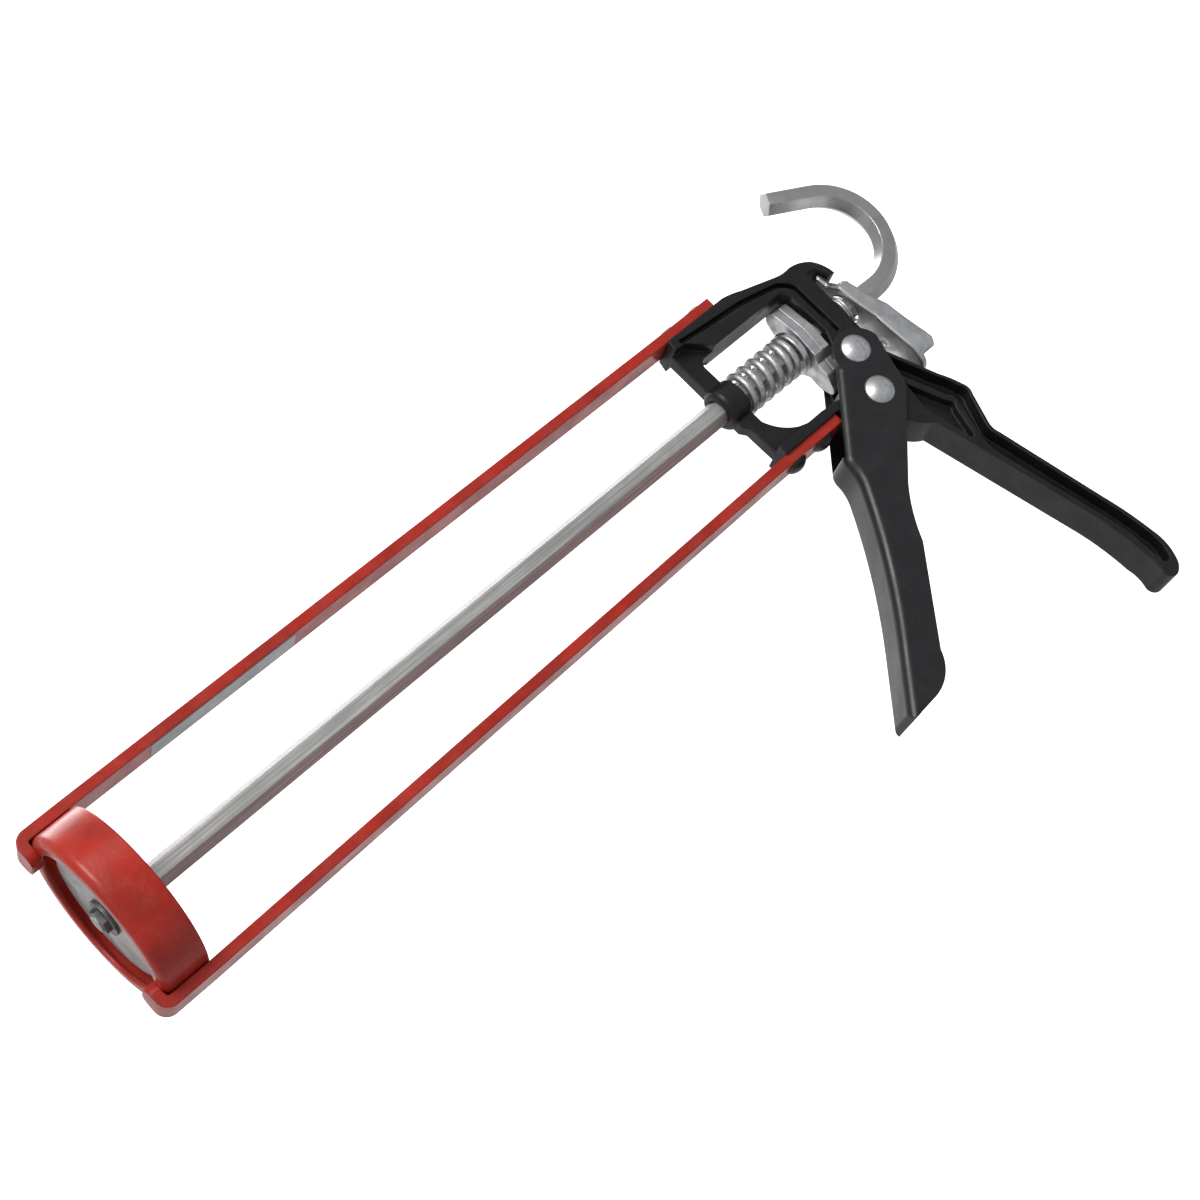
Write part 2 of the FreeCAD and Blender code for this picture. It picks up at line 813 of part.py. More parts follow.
finish_node(cross_rivet(outlines["pivot_rivet"], "pivot"), "pivot_rivet")
finish_node(cross_rivet(outlines["pin_rivet"], "pin"), "drive_rivet")
roller_outer = cylinder(
    "roller_outer",
    "Dims.roller_radius",
    "Dims.roller_length",
    along_y(dim("pin_x"), dim("roller_length") / 2, dim("pin_z")),
)
roller_bore = cylinder(
    "roller_bore",
    "Dims.pin_radius",
    "Dims.roller_length + 2",
    along_y(dim("pin_x"), dim("roller_length") / 2 + 1, dim("pin_z")),
)
finish_node(cut("roller", roller_outer, [roller_bore]), "drive_roller")

# ------------------------------------------------------------------ trigger
trigger_width = "(Dims.casting_width + 2 * (Dims.side_gap + Dims.trigger_sheet))"
hollow_width = "(Dims.casting_width + 2 * Dims.side_gap)"
trigger_slab = slab("trigger_slab", outlines["trigger"], trigger_width)
hollow_slab = slab("hollow_slab", outlines["trigger_hollow"], hollow_width)


def front_edges(words, table, half):
    """Picks the side edges that run between the named corners."""
    spots = [(x, z) for word, x, z, bulge in table if word in words]

    def wanted(edge):
        ends = [v.Point for v in edge.Vertexes]
        if len(ends) != 2 or any(abs(abs(p.y) - half) > 0.01 for p in ends):
            return False
        return all(
            any(abs(p.x - x) < 0.01 and abs(p.z - z) < 0.01 for x, z in spots) for p in ends
        ) and abs(ends[0].y - ends[1].y) < 0.01

    return wanted


run = ("nose", "lower_front", "upper_front", "brow_low", "brow_high")
trigger_round = rounded(
    "trigger_round",
    trigger_slab,
    dim("trigger_bend"),
    front_edges(run, TRIGGER, cheek),
)
hollow_round = rounded(
    "hollow_round",
    hollow_slab,
    dim("trigger_bend") - dim("trigger_sheet"),
    front_edges(run, TRIGGER_HOLLOW, cheek - dim("trigger_sheet")),
)
trigger_holes = [
    hollow_round,
    cylinder(
        "trigger_pivot_hole",
        "Dims.pivot_radius + Dims.running_gap",
        cut_length,
        along_y(dim("pivot_x"), reach, dim("pivot_z")),
    ),
    cylinder(
        "trigger_pin_hole",
        "Dims.pin_radius",
        cut_length,
        along_y(dim("pin_x"), reach, dim("pin_z")),
    ),
]
finish_node(cut("trigger", trigger_round, trigger_holes), "trigger")

# ----------------------------------------------------- drive plates and seat
tilt = dim("plate_tilt")


def drive_plate(name, rear):
    """One punched plate, leaning with its foot forward; rear is its back face at the rod."""
    blank = slab(name + "_blank", outlines["plate"], "Dims.plate_thickness")
    hole = cylinder(name + "_hole", "Dims.plate_hole_radius", cut_length, along_y(0, reach, 0))
    body = cut(name, blank, [hole])
    middle = dim("plate_thickness") / 2 / math.cos(math.radians(tilt))
    lean = FreeCAD.Rotation(AXIS_Y, tilt).multiply(FreeCAD.Rotation(V(0, 0, 1), 90))
    body.Placement = FreeCAD.Placement(V(rear - middle, 0, 0), lean)
    doc.recompute()
    return body


plate_run = dim("plate_thickness") / math.cos(math.radians(tilt))
finish_node(drive_plate("plate_rear", dim("plate_rear")), "drive_plate_rear")
finish_node(
    drive_plate("plate_front", dim("plate_rear") - plate_run - dim("plate_gap")),
    "drive_plate_front",
)
seat_disc = cylinder("seat_disc", "Dims.seat_radius", "Dims.seat_thickness", along_x(dim("seat_x")))
seat_hole = cylinder(
    "seat_hole", "Dims.plate_hole_radius", cut_length, along_x(dim("seat_x") - reach)
)
seat_washer = cut("seat_washer", seat_disc, [seat_hole])


def round_edge(radius):
    """Picks the circular edges of a radius."""

    def wanted(edge):
        return hasattr(edge.Curve, "Radius") and abs(edge.Curve.Radius - radius) < 0.01

    return wanted


seat = rounded("seat", seat_washer, dim("seat_round"), round_edge(dim("seat_radius")))
finish_node(seat, "spring_seat")
finish_node(
    coil(
        "drive_coil",
        dim("boss_rear") + dim("spring_gap"),
        dim("seat_x") - dim("spring_gap"),
        dim("drive_spring_radius"),
        dim("drive_spring_wire"),
        dim("drive_spring_turns"),
    ),
    "drive_spring",
)

# ------------------------------------------------------------- release lever
lever_slab = slab("lever_slab", outlines["lever"], "Dims.lever_width")
lever_dished = cut(
    "lever_dished",
    lever_slab,
    [slab("lever_dish_tool", outlines["lever_dish"], "Dims.lever_width - 2 * Dims.lever_sheet")],
)
lever_face = slab("lever_face_tool", outlines["lever_face"], cut_length)
lever_face.Placement = FreeCAD.Placement(
    V(dim("column_rear"), 0, 0), FreeCAD.Rotation(V(0, 0, 1), 90)
)
lever_trimmed = doc.addObject("Part::Common", "lever_trimmed")
lever_trimmed.Base = lever_dished
lever_trimmed.Tool = lever_face
doc.recompute()
lever_holes = [
    cylinder(
        "lever_rod_hole",
        "Dims.lever_hole_radius",
        cut_length,
        along_x(dim("column_rear") - reach),
    ),
    cylinder(
        "lever_small_hole",
        "Dims.lever_hang_hole_radius",
        cut_length,
        along_x(dim("column_rear") - reach, 0, dim("lever_hang_hole_z")),
    ),
]
finish_node(cut("lever", lever_trimmed, lever_holes), "release_lever")
finish_node(
    coil(
        "release_coil",
        dim("column_rear") + dim("spring_gap"),
        dim("release_spring_end"),
        dim("release_spring_radius"),
        dim("release_spring_wire"),
        dim("release_spring_turns"),
    ),
    "release_spring",
)

# --------------------------------------------------------- push rod, plunger
def hex_bar(name, flats, length, place):
    """A six-sided bar with a pair of flats facing sideways."""
    body = doc.addObject("Part::Prism", name)
    body.Polygon = 6
    body.setExpression("Circumradius", "%s / sqrt(3)" % flats)
    body.setExpression("Height", length)
    body.Placement = place
    doc.recompute()
    return body


bend_start = dim("rod_bend_start")
hook_radius = dim("hook_radius")
hook_angle = math.radians(dim("hook_angle"))
rod_straight = hex_bar(
    "rod_straight",
    "Dims.rod_flats",
    "Dims.rod_bend_start - Dims.rod_front",
    along_x(dim("rod_front")),
)
section = doc.addObject("Part::RegularPolygon", "rod_section")
section.Polygon = 6
section.setExpression("Circumradius", "Dims.rod_flats / sqrt(3)")
section.Placement = along_x(bend_start)
doc.recompute()
rod_bend = doc.addObject("Part::Revolution", "rod_bend")
rod_bend.Source = section
rod_bend.Axis = V(0, -1, 0)
rod_bend.setExpression(".Base.x", "Dims.rod_bend_start")
rod_bend.setExpression(".Base.z", "Dims.hook_radius")
rod_bend.setExpression("Angle", "Dims.hook_angle")
rod_bend.Solid = True
doc.recompute()
tail_foot = V(
    bend_start + hook_radius * math.sin(hook_angle),
    0,
    hook_radius - hook_radius * math.cos(hook_angle),
)
tail_turn = FreeCAD.Rotation(AXIS_Y, 90 - dim("hook_angle"))
rod_tail = hex_bar(
    "rod_tail",
    "Dims.rod_flats",
    "Dims.hook_tail",
    FreeCAD.Placement(tail_foot, tail_turn),
)
rod_spigot = cylinder(
    "rod_spigot",
    "Dims.spigot_radius",
    "Dims.rod_front - Dims.spigot_front + 1",
    along_x(dim("spigot_front")),
)
finish_node(fuse("rod", [rod_spigot, rod_straight, rod_bend, rod_tail]), "plunger_rod")
finish_node(turned("plunger_body", outlines["plunger"]), "plunger_disc")


def washer(name, front):
    """A flat washer round the spigot."""
    disc = cylinder(name + "_disc", "Dims.washer_radius", "Dims.washer_thickness", along_x(front))
    hole = cylinder(name + "_hole", "Dims.spigot_radius", cut_length, along_x(front - reach))
    return cut(name, disc, [hole])


gap = dim("running_gap")
front_washer = dim("plunger_hub_front_x") - gap - dim("washer_thickness")
washers = doc.addObject("Part::Compound", "washers")
washers.Links = [
    washer("washer_front", front_washer),
    washer("washer_rear", dim("plunger_hub_rear_x") + gap),
]
doc.recompute()
finish_node(washers, "plunger_washers")
nut_blank = hex_bar(
    "nut_blank", "Dims.nut_flats", "Dims.nut_thickness", along_x(front_washer - dim("nut_thickness"))
)
nut_hole = cylinder("nut_hole", "Dims.spigot_radius", cut_length, along_x(-reach))
finish_node(cut("nut", nut_blank, [nut_hole]), "plunger_nut")

# -------------------------------------------------------------------- export
for item in doc.Objects:
    if "Invalid" in item.State or "Error" in item.State:
        raise RuntimeError("%s did not build" % item.Name)
os.makedirs("parts", exist_ok=True)
for item in finished:
    if item.Shape.isNull() or not item.Shape.isValid():
        raise RuntimeError("%s has no sound shape" % item.Label)
    item.Shape.exportStep("parts/%s.step" % item.Label)
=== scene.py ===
import math

import bpy
from mathutils import Euler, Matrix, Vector


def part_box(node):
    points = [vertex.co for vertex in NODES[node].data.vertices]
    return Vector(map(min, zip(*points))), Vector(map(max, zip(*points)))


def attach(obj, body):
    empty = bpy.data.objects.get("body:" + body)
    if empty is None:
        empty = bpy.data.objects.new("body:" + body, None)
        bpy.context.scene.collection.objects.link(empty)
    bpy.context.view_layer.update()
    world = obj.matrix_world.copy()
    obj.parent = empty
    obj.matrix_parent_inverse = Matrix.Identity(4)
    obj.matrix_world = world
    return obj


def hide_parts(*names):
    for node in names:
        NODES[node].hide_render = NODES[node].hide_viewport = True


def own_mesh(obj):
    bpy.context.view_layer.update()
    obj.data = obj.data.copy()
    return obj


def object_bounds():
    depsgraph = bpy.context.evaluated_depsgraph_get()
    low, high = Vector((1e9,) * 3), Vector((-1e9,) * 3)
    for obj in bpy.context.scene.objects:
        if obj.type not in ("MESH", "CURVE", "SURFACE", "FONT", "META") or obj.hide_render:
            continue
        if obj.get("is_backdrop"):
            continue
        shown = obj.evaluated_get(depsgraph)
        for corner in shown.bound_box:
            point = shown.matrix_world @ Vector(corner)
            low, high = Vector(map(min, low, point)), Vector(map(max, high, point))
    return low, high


bl_info = {
    "name": "Caulking Gun",
    "version": (1, 0, 0),
    "blender": (4, 5, 0),
    "location": "3D View > Sidebar > Caulking Gun",
    "description": "Finishes the pieces of a skeleton-frame caulking gun and sets its stage",
    "category": "Object",
}

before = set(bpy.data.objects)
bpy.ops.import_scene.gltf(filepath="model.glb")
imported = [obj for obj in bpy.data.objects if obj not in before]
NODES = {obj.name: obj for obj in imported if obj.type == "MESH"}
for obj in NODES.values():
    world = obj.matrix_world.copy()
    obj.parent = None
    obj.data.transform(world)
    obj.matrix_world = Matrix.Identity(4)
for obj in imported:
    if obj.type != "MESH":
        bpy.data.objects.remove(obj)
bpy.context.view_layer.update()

# shared colours of worn and dusty places
WHITE = (1.0, 1.0, 1.0, 1.0)
RED_DUST = (0.4, 0.2, 0.18, 1.0)
LABEL_DUST = (0.7, 0.7, 0.7, 1.0)
CAST_SHINE = (0.06, 0.06, 0.065, 1.0)
CAST_DUST = (0.12, 0.12, 0.12, 1.0)
SHEET_SHINE = (0.08, 0.08, 0.085, 1.0)
SHEET_DUST = (0.14, 0.14, 0.14, 1.0)
DARK_SPECK = (0.16, 0.155, 0.15, 1.0)
BRIGHT_EDGE = (0.85, 0.85, 0.86, 1.0)
ROD_EDGE = (0.7, 0.69, 0.67, 1.0)
DISC_EDGE = (0.7, 0.7, 0.7, 1.0)
RIVET_RED_TINGE = (0.06, 0.03, 0.03, 1.0)
RIVET_EDGE = (0.2, 0.2, 0.2, 1.0)
ROOM_GREY = (0.42, 0.43, 0.44, 1.0)
FLOOR_GLOW_UNSEEN = (0.1, 0.1, 0.1, 1.0)
FLOOR_GLOW_SEEN = (0.9, 0.9, 0.9, 1.0)
# the rod's drawn finish turns into the hook's brighter one between these X, in metres
HOOK_START = 0.296
HOOK_FULL = 0.308


# ------------------------------------------------------------ node helpers
class Graph:
    """Adds and joins nodes in one material or group tree."""

    def __init__(self, tree):
        self.tree = tree

    def add(self, kind, **values):
        """A node of a kind, with its properties and unlinked inputs set by name."""
        node = self.tree.nodes.new(kind)
        for key, value in values.items():
            if hasattr(node, key):
                setattr(node, key, value)
            else:
                node.inputs[key.replace("_", " ")].default_value = value
        return node

    def join(self, source, target):
        """Links an output socket to an input socket."""
        self.tree.links.new(source, target)

    def noise(self, vector, scale, detail=3.0, roughness=0.5, distortion=0.0):
        """A noise value between 0 and 1."""
        node = self.add("ShaderNodeTexNoise")
        node.inputs["Detail"].default_value = detail
        node.inputs["Roughness"].default_value = roughness
        node.inputs["Distortion"].default_value = distortion
        self.put(scale, node.inputs["Scale"])
        self.join(vector, node.inputs["Vector"])
        return node.outputs["Fac"]

    def put(self, value, target):
        """Links a socket, or sets a number or colour."""
        if isinstance(value, bpy.types.NodeSocket):
            self.join(value, target)
        else:
            target.default_value = value

    def math(self, operation, first, second=0.0, clamp=False):
        """One sum on two numbers or sockets."""
        node = self.add("ShaderNodeMath", operation=operation, use_clamp=clamp)
        self.put(first, node.inputs[0])
        self.put(second, node.inputs[1])
        return node.outputs[0]

    def spread(self, value, low, high, to_low=0.0, to_high=1.0):
        """Maps low..high to to_low..to_high, smoothly, and holds it there."""
        node = self.add("ShaderNodeMapRange", interpolation_type="SMOOTHSTEP")
        for name, item in zip(
            ("Value", "From Min", "From Max", "To Min", "To Max"),
            (value, low, high, to_low, to_high),
        ):
            self.put(item, node.inputs[name])
        return node.outputs["Result"]

    def mix(self, fac, first, second):
        """Blends two colours by a value."""
        node = self.add("ShaderNodeMix", data_type="RGBA")
        self.put(fac, node.inputs[0])
        self.put(first, node.inputs[6])
        self.put(second, node.inputs[7])
        return node.outputs[2]

    def blend(self, fac, first, second):
        """Blends two numbers by a value."""
        node = self.add("ShaderNodeMix", data_type="FLOAT")
        self.put(fac, node.inputs[0])
        self.put(first, node.inputs[2])
        self.put(second, node.inputs[3])
        return node.outputs[0]


def new_group(name, inputs, outputs):
    """An empty shader group with named sockets: (name, kind, default) and (name, kind)."""
    tree = bpy.data.node_groups.new(name, "ShaderNodeTree")
    for label, kind, default in inputs:
        socket = tree.interface.new_socket(label, in_out="INPUT", socket_type=kind)
        if default is not None:
            socket.default_value = default
    for label, kind in outputs:
        tree.interface.new_socket(label, in_out="OUTPUT", socket_type=kind)
    graph = Graph(tree)
    return graph, graph.add("NodeGroupInput").outputs, graph.add("NodeGroupOutput").inputs


FLOAT = "NodeSocketFloat"
VECTOR = "NodeSocketVector"


def worn_edges_group():
    """Rounds the look of sharp edges and gives a broken mask where they rub."""
    g, given, out = new_group(
        "Worn Edges",
        [("Radius", FLOAT, 0.0006), ("Breakup", FLOAT, 700.0), ("Amount", FLOAT, 0.5)],
        [("Mask", FLOAT), ("Normal", VECTOR)],
    )
    place = g.add("ShaderNodeTexCoord").outputs["Object"]
    round_off = g.add("ShaderNodeBevel", samples=6)
    g.join(given["Radius"], round_off.inputs["Radius"])
    flat = g.add("ShaderNodeNewGeometry").outputs["Normal"]
    facing = g.add("ShaderNodeVectorMath", operation="DOT_PRODUCT")
    g.join(round_off.outputs["Normal"], facing.inputs[0])
    g.join(flat, facing.inputs[1])
    turn = g.math("SUBTRACT", 1.0, facing.outputs["Value"])
    edge = g.spread(turn, 0.015, 0.16)
    patch = g.noise(place, given["Breakup"], detail=6.0, roughness=0.7)
    broken = g.spread(patch, 0.42, 0.62)
    g.join(g.math("MULTIPLY", g.math("MULTIPLY", edge, broken), given["Amount"]), out["Mask"])
    g.join(round_off.outputs["Normal"], out["Normal"])
    return g.tree


def cast_skin_group():
    """The fine pebbled height of a sprayed or cast surface, with its slow waves."""
    g, given, out = new_group(
        "Sprayed Skin",
        [("Grain", FLOAT, 2200.0), ("Wave", FLOAT, 260.0), ("Wave Share", FLOAT, 0.6)],
        [("Height", FLOAT), ("Patches", FLOAT)],
    )
    place = g.add("ShaderNodeTexCoord").outputs["Object"]
    fine = g.noise(place, given["Grain"], detail=2.0)
    wave = g.noise(place, given["Wave"], detail=2.0, distortion=0.3)
    g.join(g.blend(given["Wave Share"], fine, wave), out["Height"])
    g.join(g.spread(g.noise(place, 95.0, detail=5.0, roughness=0.6), 0.35, 0.68), out["Patches"])
    return g.tree


def drawn_metal_group():
    """Streaks along X left by drawing or rolling, and the cloudy bloom of zinc."""
    g, given, out = new_group(
        "Drawn Metal",
        [("Across", FLOAT, 1500.0), ("Along", FLOAT, 45.0), ("Cloud", FLOAT, 160.0)],
        [("Streaks", FLOAT), ("Clouds", FLOAT), ("Specks", FLOAT)],
    )
    place = g.add("ShaderNodeTexCoord").outputs["Object"]
    squeeze = g.add("ShaderNodeCombineXYZ")
    parts = g.add("ShaderNodeSeparateXYZ")
    g.join(place, parts.inputs[0])
    g.join(g.math("MULTIPLY", parts.outputs["X"], given["Along"]), squeeze.inputs["X"])
    g.join(g.math("MULTIPLY", parts.outputs["Y"], given["Across"]), squeeze.inputs["Y"])
    g.join(g.math("MULTIPLY", parts.outputs["Z"], given["Across"]), squeeze.inputs["Z"])
    g.join(g.noise(squeeze.outputs[0], 1.0, detail=4.0, roughness=0.6), out["Streaks"])
    clouds = g.noise(place, given["Cloud"], detail=5.0, roughness=0.62, distortion=0.6)
    g.join(g.spread(clouds, 0.32, 0.68), out["Clouds"])
    g.join(g.spread(g.noise(place, 1300.0, detail=2.0), 0.62, 0.76), out["Specks"])
    return g.tree


def dust_group():
    """A thin uneven film of dust and finger marks."""
    g, given, out = new_group(
        "Dust Film",
        [("Scale", FLOAT, 120.0), ("Amount", FLOAT, 0.3)],
        [("Mask", FLOAT)],
    )
    place = g.add("ShaderNodeTexCoord").outputs["Object"]
    broad = g.noise(place, given["Scale"], detail=6.0, roughness=0.65)
    fine = g.noise(place, 1900.0, detail=3.0)
    film = g.math("MULTIPLY", g.spread(broad, 0.4, 0.75), g.spread(fine, 0.25, 0.8))
    g.join(g.math("MULTIPLY", film, given["Amount"]), out["Mask"])
    return g.tree


GROUPS = {}


def place_group(graph, name, **values):
    """Puts one of the shared groups in a material with its own values."""
    node = graph.add("ShaderNodeGroup")
    node.node_tree = GROUPS[name]
    for key, value in values.items():
        node.inputs[key.replace("_", " ")].default_value = value
    return node.outputs


def new_material(name, metallic, roughness, coat=0.0, coat_roughness=0.1, specular=0.5):
    """A material with its Principled shader ready, and the graph to build on."""
    material = bpy.data.materials.new(name)
    material.use_nodes = True
    graph = Graph(material.node_tree)
    shader = material.node_tree.nodes["Principled BSDF"]
    shader.inputs["Metallic"].default_value = metallic
    shader.inputs["Roughness"].default_value = roughness
    shader.inputs["Coat Weight"].default_value = coat
    shader.inputs["Coat Roughness"].default_value = coat_roughness
    shader.inputs["Specular IOR Level"].default_value = specular
    return material, graph, shader.inputs


def bump(graph, height, normal, strength, distance, target):
    """Raises the surface by a height in metres."""
    node = graph.add("ShaderNodeBump")
    node.inputs["Strength"].default_value = strength
    node.inputs["Distance"].default_value = distance
    graph.join(height, node.inputs["Height"])
    if normal is not None:
        graph.join(normal, node.inputs["Normal"])
    graph.join(node.outputs["Normal"], target)


def with_alpha(colour):
    """A colour property as the four numbers that a socket takes."""
    return (colour[0], colour[1], colour[2], 1.0)


def dress(material, *names):
    """Gives the material to every slot of the named CAD nodes."""
    for name in names:
        mesh = NODES[name].data
        if not mesh.materials:
            mesh.materials.append(material)
        for i in range(len(mesh.materials)):
            mesh.materials[i] = material


# ------------------------------------------------------------- properties
class CradleSettings(bpy.types.PropertyGroup):
    """Colours and wear of the painted ring and strips, and the label's colour."""

    paint: bpy.props.FloatVectorProperty(
        name="Paint", description="Colour of the red paint", subtype="COLOR",
        size=3, min=0.0, max=1.0, default=(0.47, 0.026, 0.014),
    )
    undercoat: bpy.props.FloatVectorProperty(
        name="Undercoat", description="Dark metal that shows where paint has rubbed off",
        subtype="COLOR", size=3, min=0.0, max=1.0, default=(0.12, 0.025, 0.018),
    )
    wear: bpy.props.FloatProperty(
        name="Wear", description="How much paint the edges have lost", default=0.45,
        min=0.0, max=1.0, subtype="FACTOR",
    )
    label: bpy.props.FloatVectorProperty(
        name="Label", description="Colour of the blank label film", subtype="COLOR",
        size=3, min=0.0, max=1.0, default=(0.36, 0.37, 0.38),
    )


class BlackSettings(bpy.types.PropertyGroup):
    """Colours of the black cast body and the black pressed trigger."""

    cast: bpy.props.FloatVectorProperty(
        name="Casting", description="Colour of the paint on the cast body", subtype="COLOR",
        size=3, min=0.0, max=1.0, default=(0.007, 0.007, 0.008),
    )
    sheet: bpy.props.FloatVectorProperty(
        name="Trigger", description="Colour of the paint on the trigger", subtype="COLOR",
        size=3, min=0.0, max=1.0, default=(0.010, 0.010, 0.011),
    )
    wear: bpy.props.FloatProperty(
        name="Wear", description="How much the edges shine through", default=0.35,
        min=0.0, max=1.0, subtype="FACTOR",
    )


class MetalSettings(bpy.types.PropertyGroup):
    """Colours of the bare and plated metal pieces."""

    bright: bpy.props.FloatVectorProperty(
        name="Bright zinc", description="Colour of the plated pressings and rivets",
        subtype="COLOR", size=3, min=0.0, max=1.0, default=(0.78, 0.78, 0.79),
    )
    steel: bpy.props.FloatVectorProperty(
        name="Steel", description="Colour of the drive plates and spring wire",
        subtype="COLOR", size=3, min=0.0, max=1.0, default=(0.68, 0.68, 0.69),
    )
    drive_keep: bpy.props.FloatProperty(
        name="Drive spring kept", description="Share of its length at the end of the pull",
        default=0.67, min=0.1, max=1.0, subtype="FACTOR",
    )
    release_keep: bpy.props.FloatProperty(
        name="Release spring kept", description="Share of its length at the end of the press",
        default=0.8, min=0.1, max=1.0, subtype="FACTOR",
    )
    rod: bpy.props.FloatVectorProperty(
        name="Rod zinc", description="Colour of the matt zinc on the push rod",
        subtype="COLOR", size=3, min=0.0, max=1.0, default=(0.52, 0.51, 0.50),
    )


class StageSettings(bpy.types.PropertyGroup):
    """The floor and the camera."""

    floor: bpy.props.FloatVectorProperty(
        name="Floor", description="Colour of the pale floor", subtype="COLOR",
        size=3, min=0.0, max=1.0, default=(0.92, 0.92, 0.92),
    )
    floor_distance: bpy.props.FloatProperty(
        name="Floor distance", description="How far the floor lies beyond the gun",
        default=0.9, min=0.1, unit="LENGTH",
    )
    camera_place: bpy.props.FloatVectorProperty(
        name="Camera place", description="Where the camera stands", size=3,
        subtype="TRANSLATION", default=(-0.10465, -0.57871, -0.12716),
    )
    camera_turn: bpy.props.FloatVectorProperty(
        name="Camera turn", description="The camera's rotation", size=3, subtype="EULER",
        default=(math.radians(103.263), math.radians(43.848), math.radians(-15.684)),
    )
    lens: bpy.props.FloatProperty(
        name="Lens", description="Focal length", default=0.06849, min=0.01,
        unit="CAMERA",
    )


# ------------------------------------------------------------- operators
class CAULK_OT_groups(bpy.types.Operator):
    """Build the shader groups that the materials share"""

    bl_idname = "caulk.groups"
    bl_label = "Shared Effects"

    def execute(self, context):
        GROUPS["edges"] = worn_edges_group()
        GROUPS["skin"] = cast_skin_group()
        GROUPS["drawn"] = drawn_metal_group()
        GROUPS["dust"] = dust_group()
        return {"FINISHED"}


class CAULK_OT_cradle(bpy.types.Operator):
    """Paint the front ring and the two strips red"""

    bl_idname = "caulk.cradle"
    bl_label = "Ring and Strips"

    def execute(self, context):
        look = context.scene.caulk_cradle
        material, g, shader = new_material(
            "Red gloss paint", 0.0, 0.3, coat=0.08, coat_roughness=0.16, specular=0.28
        )
        edges = place_group(g, "edges", Radius=0.0007, Breakup=620.0, Amount=look.wear)
        skin = place_group(g, "skin", Grain=1700.0, Wave=330.0, Wave_Share=0.7)
        dust = place_group(g, "dust", Scale=140.0, Amount=0.22)
        deep = tuple(0.72 * c for c in look.paint)
        paint = g.mix(skin["Patches"], with_alpha(deep), with_alpha(look.paint))
        rubbed = g.mix(edges["Mask"], paint, with_alpha(look.undercoat))
        g.join(g.mix(dust["Mask"], rubbed, RED_DUST), shader["Base Color"])
        rough = g.blend(skin["Patches"], 0.36, 0.26)
        g.join(g.math("ADD", rough, g.math("MULTIPLY", dust["Mask"], 0.6)), shader["Roughness"])
        bump(g, skin["Height"], edges["Normal"], 0.35, 0.00012, shader["Normal"])
        dress(material, "front_ring", "upper_rail", "lower_rail")
        return {"FINISHED"}


class CAULK_OT_label(bpy.types.Operator):
    """Finish the blank film label on the upper strip"""

    bl_idname = "caulk.label"
    bl_label = "Label"

    def execute(self, context):
        look = context.scene.caulk_cradle
        material, g, shader = new_material("Label film", 0.0, 0.42, coat=0.2)
        dust = place_group(g, "dust", Scale=220.0, Amount=0.5)
        skin = place_group(g, "skin", Grain=1500.0, Wave=180.0, Wave_Share=0.5)
        dark = tuple(0.45 * c for c in look.label)
        base = g.mix(skin["Patches"], with_alpha(look.label), with_alpha(dark))
        g.join(g.mix(dust["Mask"], base, LABEL_DUST), shader["Base Color"])
        g.join(g.blend(dust["Mask"], 0.38, 0.62), shader["Roughness"])
        bump(g, skin["Height"], None, 0.3, 0.0001, shader["Normal"])
        dress(material, "rail_label")
        return {"FINISHED"}


class CAULK_OT_body(bpy.types.Operator):
    """Finish the cast handle body in semi-gloss black"""

    bl_idname = "caulk.body"
    bl_label = "Cast Body"

    def execute(self, context):
        look = context.scene.caulk_black
        material, g, shader = new_material("Black cast paint", 0.0, 0.42, specular=0.32)
        edges = place_group(g, "edges", Radius=0.0009, Breakup=480.0, Amount=look.wear)
        skin = place_group(g, "skin", Grain=1400.0, Wave=240.0, Wave_Share=0.55)
        dust = place_group(g, "dust", Scale=90.0, Amount=0.12)
        lighter = tuple(min(1.0, 1.6 * c) for c in look.cast)
        paint = g.mix(skin["Patches"], with_alpha(look.cast), with_alpha(lighter))
        shone = g.mix(edges["Mask"], paint, CAST_SHINE)
        g.join(g.mix(dust["Mask"], shone, CAST_DUST), shader["Base Color"])
        rough = g.blend(skin["Patches"], 0.46, 0.36)
        g.join(g.math("SUBTRACT", rough, g.math("MULTIPLY", edges["Mask"], 0.12)), shader["Roughness"])
        bump(g, skin["Height"], edges["Normal"], 0.5, 0.00016, shader["Normal"])
        dress(material, "handle_body")
        return {"FINISHED"}


class CAULK_OT_trigger(bpy.types.Operator):
    """Finish the pressed trigger in smooth black paint"""

    bl_idname = "caulk.trigger"
    bl_label = "Trigger"

    def execute(self, context):
        look = context.scene.caulk_black
        material, g, shader = new_material(
            "Black sheet paint", 0.0, 0.34, coat=0.05, coat_roughness=0.22, specular=0.4
        )
        edges = place_group(g, "edges", Radius=0.0006, Breakup=640.0, Amount=look.wear)
        skin = place_group(g, "skin", Grain=1900.0, Wave=300.0, Wave_Share=0.7)
        dust = place_group(g, "dust", Scale=110.0, Amount=0.12)
        lighter = tuple(min(1.0, 1.5 * c) for c in look.sheet)
        paint = g.mix(skin["Patches"], with_alpha(look.sheet), with_alpha(lighter))
        shone = g.mix(edges["Mask"], paint, SHEET_SHINE)
        g.join(g.mix(dust["Mask"], shone, SHEET_DUST), shader["Base Color"])
        g.join(g.blend(skin["Patches"], 0.4, 0.3), shader["Roughness"])
        bump(g, skin["Height"], edges["Normal"], 0.35, 0.00012, shader["Normal"])
        dress(material, "trigger")
        return {"FINISHED"}


